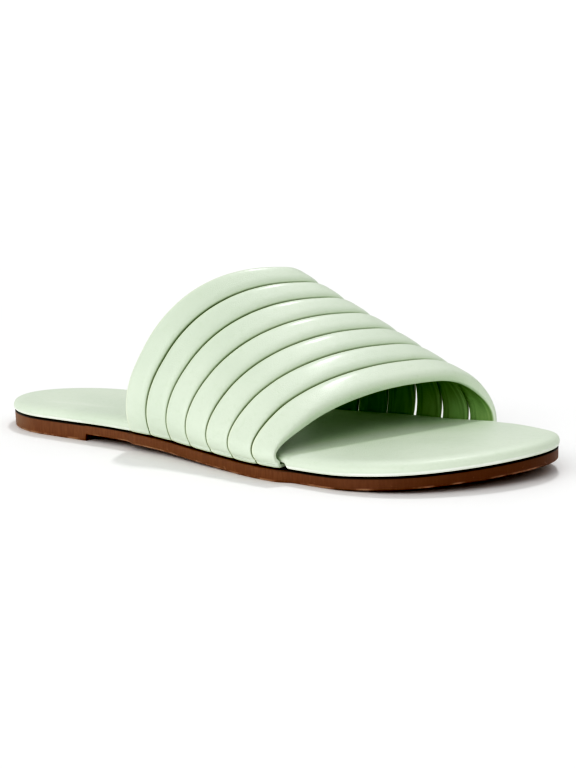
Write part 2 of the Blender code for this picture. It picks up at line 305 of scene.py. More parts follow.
print("operations of a Number:", sum(callable(part) for part in vars(Number).values()))

# %% [markdown]
# ## Any other node
# One function adds every other node. It takes the node's type, then its settings, which change its
# sockets and so have to come first, and then what is plugged in, in order or by name.

# %% Adding nodes


def add_node(tree, kind, settings=(), *terms, **plugs):
    """Add a node, set what shapes its sockets, then plug inputs in order and by name."""
    node = tree.nodes.new(kind)
    for name, value in dict(settings).items():
        setattr(node, name, value)
    open_slots = [s for s in node.inputs if not s.is_unavailable]
    for term, slot in zip(terms, open_slots):
        plug(tree, term, slot)
    for name, term in plugs.items():
        plug(tree, term, next(s for s in open_slots if s.name == name.replace("_", " ")))
    return node


def out(node, name=None):
    """An output socket of a node by name, or its first one."""
    return next(s for s in node.outputs if not s.is_unavailable and name in (None, s.name))


def number(node, name=None):
    """An output of a node as a Number."""
    return Number(out(node, name))


def noise(vector, scale, detail=2.0):
    return number(add_node(vector.id_data, "ShaderNodeTexNoise", (), vector, Scale=scale, Detail=detail))


def vector_math(operation, vector, *terms, **plugs):
    settings = {"operation": operation}
    return out(add_node(vector.id_data, "ShaderNodeVectorMath", settings, vector, *terms, **plugs))


print("helpers: plug, add_node, out, number, noise, vector_math")

# %% [markdown]
# ## How a strap is lasted
# Each strap starts as a flat tab cemented under the footbed and bends up round its side in a tight
# quarter turn. On the real sandal the tab is pulled in by hand and roughed for the cement. Here it
# is a straight run and an arc, square to the footbed's outline at the strap's own place.

# %% The lasted end
TAB_STATIONS = 3
BEND_STATIONS = 8
NORMAL_STEP = 0.0005
UP = np.array([0.0, 0.0, 1.0])


def side_foot(side, v):
    """Foot of a strap line on the footbed outline, and the outward normal there."""
    x = LENGTH * (side["rear"] + v * (side["front"] - side["rear"]))
    ahead, behind = (footbed_side(x + step, side["sign"]) for step in (NORMAL_STEP, -NORMAL_STEP))
    normal = np.array([(behind - ahead) / (2 * NORMAL_STEP), 1.0, 0.0]) * side["sign"]
    return np.array([x, footbed_side(x, side["sign"]), 0.0]), normal / np.linalg.norm(normal)


def lasted_end(side, v):
    """Flat tab below the footbed, then the bend up its side."""
    foot, normal = side_foot(side, v)
    level = outsole_top(foot[0]) + FIT + TAB_THICKNESS / 2
    tab_end = FIT + SIDE_THICKNESS / 2 - SIDE_BEND_RADIUS
    reach = np.linspace(-TAB_LENGTH, tab_end, TAB_STATIONS + 1)[:-1]
    tab = foot + normal * reach[:, None] + UP * level
    turn = np.linspace(0, math.pi / 2, BEND_STATIONS + 1)[:, None]
    bend = foot + normal * (tab_end + SIDE_BEND_RADIUS * np.sin(turn))
    bend = bend + UP * (level + SIDE_BEND_RADIUS * (1 - np.cos(turn)))
    return np.vstack([tab, bend]), normal


print("points of a lasted end:", len(lasted_end(SIDES["outer"], 0.5)[0]))

# %% [markdown]
# ## The arch over the instep
# Between its two ends a strap arches over the foot. Its middle line follows a superellipse, an
# ellipse with an adjustable squareness, one for each flank, because a foot is steep on its inner
# and sloping on its outer side. The arch swells outward above the sole, as a filled tube does.

# %% The middle line of the upper
ARCH_STATIONS = 150
ARCH_SAMPLES = 1201


def run_along(line):
    """Length along a line at each of its points."""
    return np.concatenate([[0], np.cumsum(np.linalg.norm(np.diff(line, axis=0), axis=1))])


def strap_line(v):
    """Middle line of the upper, outer tab to inner tab, for a share v from rear to front."""
    outer, inner = SIDES["outer"], SIDES["inner"]
    form = {key: ARCH["rear"][key] * (1 - v) + ARCH["front"][key] * v for key in ARCH["rear"]}
    outer_end, outer_normal = lasted_end(outer, v)
    inner_end, inner_normal = lasted_end(inner, v)
    start, finish = outer_end[-1], inner_end[-1]
    turn = np.linspace(0, math.pi, ARCH_SAMPLES)
    first = np.cos(turn) > 0
    power = 2 / np.where(first, form["outer"], form["inner"])
    rise, reach = np.abs(np.sin(turn)) ** power, np.abs(np.cos(turn)) ** power
    crest = form["crest"]
    share = np.where(first, crest * (1 - reach), crest + (1 - crest) * reach)
    ridge = INSTEP_HEIGHT + (TOE_END_HEIGHT - INSTEP_HEIGHT) * v - 4 * RIDGE_SAG * v * (1 - v)
    height = ridge - (start[2] + (finish[2] - start[2]) * crest)
    top = np.where(first, outer["swell_top"], inner["swell_top"])
    swell = np.where(first[:, None], outer["swell"] * outer_normal, inner["swell"] * inner_normal)
    arch = start + (finish - start) * share[:, None]
    arch += swell * swell_curve(rise / top)[:, None]
    arch[:, 0] += form["lean"] * rise
    arch[:, 2] += height * rise
    run = run_along(arch)
    stops = np.linspace(0, run[-1], ARCH_STATIONS + 2)[1:-1]
    middle = np.column_stack([np.interp(stops, run, arch[:, axis]) for axis in range(3)])
    return np.vstack([outer_end, middle, inner_end[::-1]])


print("middle line of the middle strap in mm:", round(1000 * run_along(strap_line(0.5))[-1]))

# %% [markdown]
# ## One guide per strap
# A guide is a chain of points with numbers attached to each: which way the strap lies across, how
# thick it is there and how much foam it holds. The foam share grows from nothing at the lasted end
# to all of it a finger's width up, as in a stuffed tube whose end is pressed flat for the cement.

# %% What a guide knows


def unit(vectors):
    return vectors / np.linalg.norm(vectors, axis=1)[:, None]


def outward(v):
    """Outward normals of the upper's middle surface along the line v."""
    across = strap_line(v + NORMAL_STEP) - strap_line(v - NORMAL_STEP)
    return unit(np.cross(across, np.gradient(strap_line(v), axis=0)))


def slit(place, from_inner):
    """Width of the slit at one edge of a strap, station by station."""
    width = INNER_SLIT * smooth_curve(SLITS, SLIT_WIDE, place)
    length = SLIT_LENGTH * smooth_curve(SLITS, SLIT_LONG, place)
    return width * smoothstep(1 - from_inner / length)


def drawn_in(from_outer, from_inner):
    """How far the front strap's front edge is drawn in, station by station."""
    outer = SIDES["outer"]["trim"] * smoothstep(1 - from_outer / TRIM_LENGTH)
    return outer + SIDES["inner"]["trim"] * smoothstep(1 - from_inner / TRIM_LENGTH)


def strap_guide(index):
    """Middle line of one strap with what its section needs at each station."""
    v = (index + 0.5) / STRAP_COUNT
    half = 0.5 / STRAP_COUNT
    middle, rear, front = strap_line(v), strap_line(v - half), strap_line(v + half)
    run = run_along(middle)
    tab_run = run[TAB_STATIONS + BEND_STATIONS]
    from_outer, from_inner = run - tab_run, run[-1] - tab_run - run
    nearer = np.minimum(from_outer, from_inner)
    puff = smoothstep(nearer / PUFF_LENGTH)
    fold = smoothstep(nearer / (SIDE_BEND_RADIUS * math.pi / 2) + 1)
    flat = TAB_THICKNESS + (SIDE_THICKNESS - TAB_THICKNESS) * fold
    width = np.linalg.norm(front - rear, axis=1)
    rear_gap, front_gap = FIT + slit(v - half, from_inner), FIT + slit(v + half, from_inner)
    if index == STRAP_COUNT - 1:
        front_gap = front_gap + 2 * drawn_in(from_outer, from_inner)
    full_out, full_in = STRAP_THICKNESS * (1 - INNER_SHARE), STRAP_THICKNESS * INNER_SHARE
    return {
        "middle": middle + PLACE,
        "across": (front - rear) / 2,
        "bow": (front + rear) / 2 - middle,
        "rear_share": 1 - rear_gap / width,
        "front_share": 1 - front_gap / width,
        "normal": outward(v),
        "tilt": (outward(v + half) - outward(v - half)) / 2,
        "outside": flat / 2 + puff * (full_out - flat / 2),
        "inside": flat / 2 + puff * (full_in - flat / 2),
        "run": run,
        "puff": puff,
    }


print("what one guide carries:", list(strap_guide(0)))

# %% Guides as meshes


def in_scene(name, data):
    """A new object with this data, in the scene."""
    made = bpy.data.objects.new(name, data)
    bpy.context.scene.collection.objects.link(made)
    return made


def store_values(mesh, name, values, domain="POINT"):
    """Store a number or a direction for each point or face."""
    kind, field = ("FLOAT_VECTOR", "vector") if values.ndim == 2 else ("FLOAT", "value")
    mesh.attributes.new(name, kind, domain).data.foreach_set(field, values.astype(np.float32).ravel())


def close_ends(guide):
    """Repeat the first and last station with a section of no size, which closes the tab's end."""
    closed = {key: np.concatenate([part[:1], part, part[-1:]]) for key, part in guide.items()}
    for key in ("across", "bow", "outside", "inside"):
        closed[key][[0, -1]] = 0
    return closed


def guide_object(index):
    """The guide as a chain of points that carries its measures as attributes."""
    guide = close_ends(strap_guide(index))
    points = guide.pop("middle")
    mesh = bpy.data.meshes.new("guide")
    mesh.from_pydata(points.tolist(), [(i, i + 1) for i in range(len(points) - 1)], [])
    for key, part in guide.items():
        store_values(mesh, key, part)
    return in_scene("guide", mesh)


print("stations of one strap:", len(close_ends(strap_guide(0))["run"]))

# %% [markdown]
# ## The section of a padded tube
# The section is a superellipse: flat on top with full shoulders, as foam looks in a tight leather
# tube, and squarer still where the end is pressed flat. One formula gives every point its share
# across and up, and the guide's numbers, read row by row, turn the shares into metres.

# %% Nodes for one section


def scaled(vector, factor):
    return vector_math("SCALE", vector, Scale=factor)


def added(first, second):
    return vector_math("ADD", first, second)


def sampled(guide, value, row, kind):
    """A value on the guide, read at this row."""
    settings = {"data_type": kind, "domain": "POINT"}
    return out(add_node(guide.id_data, "GeometryNodeSampleIndex", settings, guide, value, row))


def carried(guide, name, row, kind="FLOAT"):
    """One of the guide's own measures, read at this row."""
    value = add_node(guide.id_data, "GeometryNodeInputNamedAttribute", {"data_type": kind}, name)
    return sampled(guide, out(value), row, kind)


def powered(wave, power):
    """A sine or cosine raised to a power, with its sign kept."""
    return wave.math("SIGN", wave) * abs(wave) ** power


def section(given, row, turn):
    """Shares across and up the section at this part of a turn, then the reach and depth they give."""

    def share(name):
        return Number(carried(out(given), name, row))

    angle = turn * (2 * math.pi)
    cosine, sine = angle.math("COSINE", angle), angle.math("SINE", angle)
    upper, ahead = sine.math("GREATER_THAN", sine, 0.0), cosine.math("GREATER_THAN", cosine, 0.0)
    square = number(given, "Outer Squareness") * upper + number(given, "Inner Squareness") * (1 - upper)
    flat_end = number(given, "End Squareness")
    square = flat_end + (square - flat_end) * share("puff")
    sideways, rise = powered(cosine, 2 / square), powered(sine, 2 / square)
    reach = sideways * (share("front_share") * ahead + share("rear_share") * (1 - ahead))
    depth = rise * (share("outside") * upper + share("inside") * (1 - upper))
    return sideways, rise, reach, depth


print("helpers: scaled, added, sampled, carried, powered, section")

# %% [markdown]
# ## A padded tube by Geometry Nodes
# All seven straps are one idea: a soft section carried along a guide. That is what Geometry Nodes
# are for. The tree makes a flat grid, one row for each station and one column for each point round
# the section, stores what the finish needs to know, and moves every point to its place. Low noise
# then lets the skin swell and pinch a little, because no stuffed tube is perfectly even.

# %% The tree of a padded tube
STRAP_WIDTH = 0.0125
STRAP_GIRTH = 2 * (STRAP_WIDTH + STRAP_THICKNESS)
MERGE_DISTANCE = 0.00001
SWELL_DETAIL = 4.0
STRAP_INPUTS = {
    "Int": ("Stations", "Points Around"),
    "Float": ("Outer Squareness", "Inner Squareness", "End Squareness", "Swell", "Swell Scale", "Seed"),
    "Material": ("Skin",),
}


def new_tree(tree_name, inputs):
    """A Geometry Nodes tree with a geometry socket at both ends, and the named inputs."""
    tree = bpy.data.node_groups.new(tree_name, "GeometryNodeTree")
    for in_out in ("INPUT", "OUTPUT"):
        tree.interface.new_socket(name="Geometry", in_out=in_out, socket_type="NodeSocketGeometry")
    for kind, names in inputs.items():
        for name in names:
            tree.interface.new_socket(name=name, in_out="INPUT", socket_type="NodeSocket" + kind)
    return tree, add_node(tree, "NodeGroupInput")


def stored(tree, mesh, name, value, kind="FLOAT", domain="POINT"):
    """The mesh with an attribute stored on it."""
    settings = {"data_type": kind, "domain": domain}
    return out(add_node(tree, "GeometryNodeStoreNamedAttribute", settings, mesh, Name=name, Value=value))


def swollen(tree, given, mesh):
    """The skin pushed out and in by low noise, where there is foam below it."""
    shift = out(add_node(tree, "ShaderNodeCombineXYZ", (), number(given, "Seed")))
    spread = added(out(add_node(tree, "GeometryNodeInputPosition")), shift)
    puff = number(add_node(tree, "GeometryNodeInputNamedAttribute", (), "puff"))
    cloud = noise(spread, number(given, "Swell Scale"), SWELL_DETAIL)
    push = scaled(out(add_node(tree, "GeometryNodeInputNormal")),
                  (cloud - 0.5) * number(given, "Swell") * puff)
    return out(add_node(tree, "GeometryNodeSetPosition", (), mesh, Offset=push))


def finish_tree(tree, geometry, skin):
    """Every tree ends the same way: real geometry, one material, smooth shading."""
    real = out(add_node(tree, "GeometryNodeRealizeInstances", (), geometry))
    smooth = out(add_node(tree, "GeometryNodeSetShadeSmooth", (), real))
    dressed = out(add_node(tree, "GeometryNodeSetMaterial", (), smooth, Material=skin))
    add_node(tree, "NodeGroupOutput", (), dressed)


def strap_tree():
    tree, given = new_tree("padded_tube", STRAP_INPUTS)
    guide, stations = out(given), number(given, "Stations")
    columns = number(given, "Points Around") + 1
    grid = add_node(tree, "GeometryNodeMeshGrid", (), 1.0, 1.0, columns, stations)
    position = out(add_node(tree, "GeometryNodeInputPosition"))
    place = add_node(tree, "ShaderNodeSeparateXYZ", (), position)
    turn = 0.5 - number(place, "X")
    row = (number(place, "Y") + 0.5) * (stations - 1)
    row = row.math("ROUND", row)
    sideways, rise, reach, depth = section(given, row, turn)

    def direction(name):
        return carried(guide, name, row, "FLOAT_VECTOR")

    middle = sampled(guide, position, row, "FLOAT_VECTOR")
    flat = added(middle, scaled(direction("across"), reach))
    flat = added(flat, scaled(direction("bow"), reach * reach))
    lift = added(direction("normal"), scaled(direction("tilt"), reach))
    placed = added(flat, scaled(lift, depth))

    run = Number(carried(guide, "run", row))
    chart = out(add_node(tree, "ShaderNodeCombineXYZ", (), run, turn * STRAP_GIRTH))
    kept = stored(tree, out(grid, "Mesh"), "strap_map", chart, "FLOAT2", "CORNER")
    puff = carried(guide, "puff", row)
    for name, value in (("face_side", rise), ("seam_side", sideways), ("puff", puff), ("run", run)):
        kept = stored(tree, kept, name, value)
    moved = out(add_node(tree, "GeometryNodeSetPosition", (), kept, Position=placed))
    welded = out(add_node(tree, "GeometryNodeMergeByDistance", (), moved, Distance=MERGE_DISTANCE))
    finish_tree(tree, swollen(tree, given, welded), out(given, "Skin"))
    return tree


STRAP_TREE = strap_tree()
print("tree:", STRAP_TREE.name, "with", len(STRAP_TREE.nodes), "nodes")

# %% [markdown]
# ## From a tree to a plain mesh
# A tree lives in a modifier, and its inputs are set there by identifier. The evaluated result is
# copied to a mesh of its own, so that the finished sandal holds only plain meshes. The volume of a
# closed mesh is a good test: it is positive only when its faces point outward.

# %% Run a tree on an object and keep its plain mesh


def identifiers(tree):
    """Identifier of each of the tree's inputs, by its name."""
    return {item.name: item.identifier for item in tree.interface.items_tree if item.in_out == "INPUT"}


def grown(source, tree, values, piece_name):
    """Run the tree on the source object, and return its result as a plain mesh."""
    modifier = source.modifiers.new("tree", "NODES")
    modifier.node_group = tree
    for name, value in values.items():
        modifier[identifiers(tree)[name]] = value
    evaluated = source.evaluated_get(bpy.context.evaluated_depsgraph_get())
    mesh = bpy.data.meshes.new_from_object(evaluated)
    source.modifiers.remove(modifier)
    bpy.data.objects.remove(source)
    mesh.name = piece_name
    return in_scene(piece_name, mesh)


def measure(piece):
    """Print a piece's volume and count its open edges."""
    work = bmesh.new()
    work.from_mesh(piece.data)
    volume = work.calc_volume(signed=True)
    open_edges = sum(not edge.is_manifold for edge in work.edges)
    work.free()
    print(piece.name, "cm3:", round(volume * 1e6, 2), "open edges:", open_edges)


def dress(piece, node):
    """Seat a finished piece in the frame."""
    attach(piece, "root")
    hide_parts(node)


print("inputs:", identifiers(STRAP_TREE))

# %% [markdown]
# ## Mint leather
# The cover is a thin synthetic nappa: satin, nearly even in colour, with a pebble grain of less than
# a millimetre, too fine for geometry. A Voronoi pattern's distance to its cell edges gives the
# pebbles, and low noise shifts colour and gloss a little. Both are read in metres on Object
# coordinates, so that the grain has its real size on every piece.

# %% The helpers of every finish
MINT = (0.61, 0.695, 0.565)
MINT_PALE = (0.65, 0.73, 0.60)
MINT_DEEP = (0.54, 0.64, 0.48)
LEATHER_ROUGHNESS = 0.45
GRAIN_SCALE, GRAIN_DEPTH = 1250.0, 0.000035
PORE_SCALE, PORE_DEPTH = 4200.0, 0.000010
CLOUD_SCALE, FINE_SCALE = 26.0, 420.0


def new_material(name):
    made = bpy.data.materials.new(name)
    made.use_nodes = True
    return made, made.node_tree, made.node_tree.nodes["Principled BSDF"]


def mixed(share, first, second):
    """Blend two colours, each a socket or three numbers."""
    colours = [(*colour, 1) if isinstance(colour, tuple) else colour for colour in (first, second)]
    node = add_node(share.socket.id_data, "ShaderNodeMix", {"data_type": "RGBA"}, share, *colours)
    return out(node, "Result")


def attribute(tree, name):
    return number(add_node(tree, "ShaderNodeAttribute", {"attribute_name": name}), "Fac")


def object_place(tree):
    return out(add_node(tree, "ShaderNodeTexCoord"), "Object")


def surface(shader, colour, roughness, height):
    """Plug in what varies over a surface: its colour, its roughness and its height in metres."""
    tree = shader.id_data
    plug(tree, colour, shader.inputs["Base Color"])
    plug(tree, roughness, shader.inputs["Roughness"])
    bump = add_node(tree, "ShaderNodeBump", (), Strength=1.0, Distance=1.0, Height=height)
    plug(tree, out(bump), shader.inputs["Normal"])


def even(shader, values):
    """Set the inputs that stay the same all over."""
    for name, value in values.items():
        shader.inputs[name].default_value = value


def leather_base(tree):
    """What strap and footbed leather share: colour, grain height in metres, and roughness."""
    place = object_place(tree)
    edges = {"feature": "DISTANCE_TO_EDGE"}
    cells = add_node(tree, "ShaderNodeTexVoronoi", edges, place, Scale=GRAIN_SCALE)
    pebbles = number(cells, "Distance").ramp(0.0, 0.22)
    cloud = noise(place, CLOUD_SCALE).ramp(0.35, 0.68)
    fine = noise(place, FINE_SCALE, 3.0)
    colour = mixed(cloud, MINT, MINT_PALE)
    colour = mixed((fine - 0.5).ramp(0.02, 0.25) * 0.25, colour, MINT_DEEP)
    height = pebbles * GRAIN_DEPTH + noise(place, PORE_SCALE) * PORE_DEPTH
    roughness = LEATHER_ROUGHNESS + (cloud - 0.5) * 0.08 + (fine - 0.5) * 0.12
    return colour, height, roughness


print("grain cells in mm:", round(1000 / GRAIN_SCALE, 2))

# %% [markdown]
# ## The straps' leather
# A strap's tree has left attributes on its mesh: which face is outside, how far across a point lies,
# and a map along the strap. They place painted light and shade: painted olive shade in the groove
# where two tubes meet, a painted highlight along the rear shoulders, and on the inner faces painted
# shade, a deeper green that varies along long crumples, which are also bumps because there the skin
# is pressed together as the tube bends.

# %% Strap leather
# Painted shade in the grooves between tubes, and how much of it is mixed in
PAINTED_SEAM_SHADE, SEAM_SHADE_SHARE = (0.095, 0.115, 0.035), 0.66
# Painted highlight for the rear shoulders of each tube, and how much of it is mixed in
PAINTED_SHOULDER_HIGHLIGHT, SHOULDER_HIGHLIGHT_SHARE = (0.76, 0.82, 0.62), 0.35
# Painted shade for the inner faces, and a deeper tone of it along the crumples
PAINTED_INSIDE_SHADE = (0.29, 0.41, 0.20)
INSIDE_SHADE_DEEP = tuple(0.6 * part for part in PAINTED_INSIDE_SHADE)
CRUMPLE_STRETCH, CRUMPLE_DEPTH = (45.0, 620.0, 1.0), 0.00022
STRAP_COAT = {"Coat Weight": 0.14, "Coat Roughness": 0.17}


def strap_cover():
    made, tree, shader = new_material("strap_leather")
    colour, height, roughness = leather_base(tree)
    face, across = attribute(tree, "face_side"), attribute(tree, "seam_side")
    # Painted highlight: a pale band along the rear shoulders of each tube
    shoulder_highlight = across.ramp(-0.66, -0.86) * face.ramp(0.38, 0.52)
    colour = mixed(shoulder_highlight * SHOULDER_HIGHLIGHT_SHARE, colour, PAINTED_SHOULDER_HIGHLIGHT)
    open_edge = attribute(tree, "open_edge")
    hidden = 1 - open_edge
    # Painted shade in the groove on both sides of a seam, kept off the open rims
    seam_shade = across.ramp(0.88, 0.94) * (1 - face.ramp(0.46, 0.74))
    seam_shade = seam_shade + across.ramp(-0.95, -0.99) * (1 - face.ramp(0.10, 0.40))
    colour = mixed(seam_shade * hidden * SEAM_SHADE_SHARE, colour, PAINTED_SEAM_SHADE)
    # Painted shade: a deeper green on the inner faces, on the open rims only well inside
    inside = (1 - face.ramp(-0.10, 0.05)) * (hidden + open_edge * (1 - face.ramp(-0.95, -0.75)))
    chart = out(add_node(tree, "ShaderNodeUVMap", {"uv_map": "strap_map"}))
    crumples = noise(vector_math("MULTIPLY", chart, CRUMPLE_STRETCH), 1.0, 3.0)
    inside_shade = mixed(crumples.ramp(0.35, 0.65) * 0.5, PAINTED_INSIDE_SHADE, INSIDE_SHADE_DEEP)
    height = height + crumples * inside * CRUMPLE_DEPTH
    surface(shader, mixed(inside, colour, inside_shade), roughness + inside * 0.12, height)
    even(shader, STRAP_COAT)
    return made


strap_leather = strap_cover()
print("strap leather nodes:", len(strap_leather.node_tree.nodes))

# %% [markdown]
# ## Creases one by one
# Creases are the opposite of a rule: a maker sees where a tube buckles, mostly low on its flanks. So
# a short table places them one by one, along and across each strap, and each row pulls the outer skin
# in along a soft trough.

# %% Creases, listed one by one
# Strap, place along it from the outer to the inner end, slant, middle and reach across it, and the
# trough's depth and half width in metres
CREASES = (
    (1, 0.115, 0.0010, -0.25, 0.60, 0.00016, 0.0009),
    (1, 0.765, -0.0016, 0.10, 0.75, 0.00022, 0.0012),
    (1, 0.800, 0.0010, -0.30, 0.55, 0.00018, 0.0010),
    (2, 0.092, -0.0008, 0.30, 0.55, 0.00014, 0.0008),
    (2, 0.780, 0.0014, 0.20, 0.70, 0.00020, 0.0011),
    (3, 0.120, 0.0012, 0.00, 0.70, 0.00014, 0.0009),
    (3, 0.795, -0.0012, -0.10, 0.65, 0.00020, 0.0011),
    (4, 0.100, -0.0010, -0.35, 0.50, 0.00015, 0.0008),
    (4, 0.790, 0.0016, 0.25, 0.60, 0.00020, 0.0012),
    (5, 0.112, 0.0010, 0.20, 0.60, 0.00014, 0.0009),
    (5, 0.805, -0.0014, 0.00, 0.75, 0.00022, 0.0011),
    (6, 0.096, 0.0008, -0.20, 0.55, 0.00015, 0.0008),
    (6, 0.815, 0.0012, 0.15, 0.60, 0.00018, 0.0010),
    (7, 0.085, -0.0014, 0.35, 0.55, 0.00020, 0.0010),
    (7, 0.130, -0.0010, 0.55, 0.40, 0.00016, 0.0009),
    (7, 0.820, 0.0014, -0.10, 0.70, 0.00022, 0.0012),
)
RIM_FROM, RIM_FADE = 0.6, 0.3
SKIN_FADE = 0.5


def point_values(mesh, name):
    values = np.zeros(len(mesh.vertices), np.float32)
    mesh.attributes[name].data.foreach_get("value", values)
    return values


def mark_open_edge(mesh, strap):
    """Mark the rim that no neighbour hides: the first strap's rear and the last strap's front."""
    facing = {1: -1.0, STRAP_COUNT: 1.0}.get(strap, 0.0)
    rim = facing * point_values(mesh, "seam_side")
    store_values(mesh, "open_edge", smoothstep((rim - RIM_FROM) / RIM_FADE))


def crease(mesh, strap):
    """Press the strap's own creases into its outer skin."""
    count = len(mesh.vertices)
    points, normals = np.zeros(3 * count), np.zeros(3 * count)
    mesh.vertices.foreach_get("co", points)
    mesh.vertex_normals.foreach_get("vector", normals)
    run, across, face = (point_values(mesh, name) for name in ("run", "seam_side", "face_side"))
    push = np.zeros(count)
    for owner, along, slant, middle, reach, depth, width in CREASES:
        if owner == strap:
            off = (run - along * run.max() - slant * across) / width
            push -= depth * np.exp(-off ** 2) * smoothstep(1.5 - np.abs(across - middle) / reach)
    push *= smoothstep(face / SKIN_FADE)
    points = points.reshape(-1, 3) + normals.reshape(-1, 3) * push[:, None]
    mesh.vertices.foreach_set("co", points.ravel())
    mesh.update()


print("creases:", len(CREASES))

# %% [markdown]
# ## Seven straps
# The same tree runs seven times, each time on another guide and with another seed, so the straps
# are alike but not copies. Then each gets its creases, and takes its solid's place in the frame.

# %% Seven straps
STRAP_VALUES = {
    "Points Around": 72,
    "Outer Squareness": 3.6,
    "Inner Squareness": 2.5,
    "End Squareness": 4.5,
    "Swell": 0.0002,
    "Swell Scale": 60.0,
    "Skin": strap_leather,
}
SEED_STEP = 1.7

for index in range(STRAP_COUNT):
    node_name = "strap_%d" % (index + 1)
    guide = guide_object(index)
    own = {"Stations": len(guide.data.vertices), "Seed": SEED_STEP * index}
    tube = grown(guide, STRAP_TREE, {**STRAP_VALUES, **own}, "padded_" + node_name)
    mark_open_edge(tube.data, index + 1)
    crease(tube.data, index + 1)
    measure(tube)
    dress(tube, node_name)

# %% [markdown]
# ## The footbed's leather
# The footbed is a board and a cushion wrapped in the leather of the straps. Low on the rolled edge,
# where the cover turns under, a painted highlight runs as a pale, uneven line. On top the leather is
# a little duller, and rubbed streaks run lengthwise. Both follow one attribute, the height that a
# point has on the rolled edge.

# %% Footbed leather
# Painted highlight low on the rolled edge, and the scale of the noise that makes it uneven
PAINTED_EDGE_HIGHLIGHT = (0.90, 0.93, 0.87)
EDGE_HIGHLIGHT_SCALE = 60.0
SCUFF = (0.80, 0.84, 0.76)
RUB_STRETCH = (18.0, 90.0, 90.0)
FOOTBED_COAT = {"Coat Weight": 0.08, "Coat Roughness": 0.25}


def footbed_cover():
    made, tree, shader = new_material("footbed_leather")
    colour, height, roughness = leather_base(tree)
    place = object_place(tree)
    rise = attribute(tree, "rise")
    # Painted highlight: a pale, uneven line low on the rolled edge
    turned = (1 - rise.ramp(0.20, 0.30)) * (0.30 + noise(place, EDGE_HIGHLIGHT_SCALE).ramp(0.35, 0.60) * 0.40)
    colour = mixed(turned, colour, PAINTED_EDGE_HIGHLIGHT)
    rubbed = noise(vector_math("MULTIPLY", place, RUB_STRETCH), 1.0, 4.0).ramp(0.60, 0.78)
    colour = mixed(rubbed * rise.ramp(0.9, 1.0) * 0.30, colour, SCUFF)
    surface(shader, colour, roughness + rubbed * 0.08, height)
    even(shader, FOOTBED_COAT)
    return made


footbed_leather = footbed_cover()
print("footbed leather nodes:", len(footbed_leather.node_tree.nodes))

# %% [markdown]
# ## Rings round an outline
# Footbed and outsole are both built as rings: copies of one outline, moved in and up, and joined by
# a band of faces. A surface that is swept round an outline shades evenly, which a remeshed block
# would not.

# %% Rings of an outline
SIDE_STEPS = 300
SLOPE_STEPS = 7


def side_steps(spread, slope, extra=()):
    """Stations from heel to toe, closer together at the round ends and past the strap ends."""
    turn = np.linspace(0, math.pi, SIDE_STEPS + 1)
    steps = [*(LENGTH * (1 - np.cos(turn)) / 2), *extra]
    for side in SIDES.values():
        rear, front = strap_span(side, spread)
        steps += [*np.linspace(rear - slope, rear, SLOPE_STEPS)]
        steps += [*np.linspace(front, front + slope, SLOPE_STEPS)]
    return np.array(sorted(steps))


def outline_ring(stations):
    """Closed ring of the footbed's outline, outer side first, with normals and facing signs."""
    outer = np.column_stack([stations, footbed_side(stations, -1)])
    inner = np.column_stack([stations, footbed_side(stations, 1)])[-2:0:-1]
    ring = np.vstack([outer, inner])
    before, after = ring - np.roll(ring, 1, axis=0), np.roll(ring, -1, axis=0) - ring
    before_size, after_size = (np.linalg.norm(step, axis=1)[:, None] for step in (before, after))
    along = before / before_size * after_size + after / after_size * before_size
    normal = unit(np.column_stack([along[:, 1], -along[:, 0]]))
    sign = np.where(np.arange(len(ring)) < len(stations), -1, 1)
    return ring, normal, sign


def bands(ring_count, count):
    """Quads between stacked rings of count points each."""
    faces = []
    for low in range(0, (ring_count - 1) * count, count):
        for i in range(count):
            beside = (i + 1) % count
            faces.append((low + i, low + beside, low + count + beside, low + count + i))
    return faces


def ring_piece(name, rings, faces, material, values, weld=False):
    """A closed piece through stacked rings, in its place, with its faces outward."""
    mesh = bpy.data.meshes.new(name)
    mesh.from_pydata((np.vstack(rings) + PLACE).tolist(), [], faces)
    for key, (domain, part) in values.items():
        store_values(mesh, key, part, domain)
    work = bmesh.new()
    work.from_mesh(mesh)
    if weld:
        bmesh.ops.remove_doubles(work, verts=work.verts, dist=MERGE_DISTANCE)
    bmesh.ops.recalc_face_normals(work, faces=work.faces)
    work.to_mesh(mesh)
    work.free()
    mesh.shade_smooth()
    mesh.materials.append(material)
    return in_scene(name, mesh)


print("points round the bare outline:", 2 * SIDE_STEPS)

# %% [markdown]
# ## The padded footbed
# Its edge is a soft roll, and below each side it is cut back for the strap ends that are cemented
# there. The rings start on the middle line of the underside, climb the rolled edge and close again
# on the middle line of the top, which has a slight crown.

# %% The footbed
TOP_RINGS = 26
EDGE_STEPS = 30
REBATE_SPREAD = 0.0006
REBATE_SLOPE = 0.0014
TOP_CROWN = 0.0004

# Rolled edge of the footbed, from bottom to top: step, inset and height as shares of its thickness
INSET, RISE = 1, 2
EDGE_ROLL = np.array((
    (0.0, 0.12, 0.00),
    (1.0, 0.02, 0.14),
    (2.0, 0.00, 0.34),
    (3.0, 0.05, 0.57),
    (4.0, 0.22, 0.77),
    (5.0, 0.60, 0.91),
    (6.0, 1.15, 0.98),
    (7.0, 1.90, 1.00),
))


def middle_line(x):
    """The line on which the rings close: the outline's middle, short of the round ends."""
    x = np.clip(x, HEEL_ROUND, LENGTH - TOE_ROUND)
    return np.column_stack([x, BALL_WIDTH * smooth_curve(OUTLINE, SHIFT, x / LENGTH)])


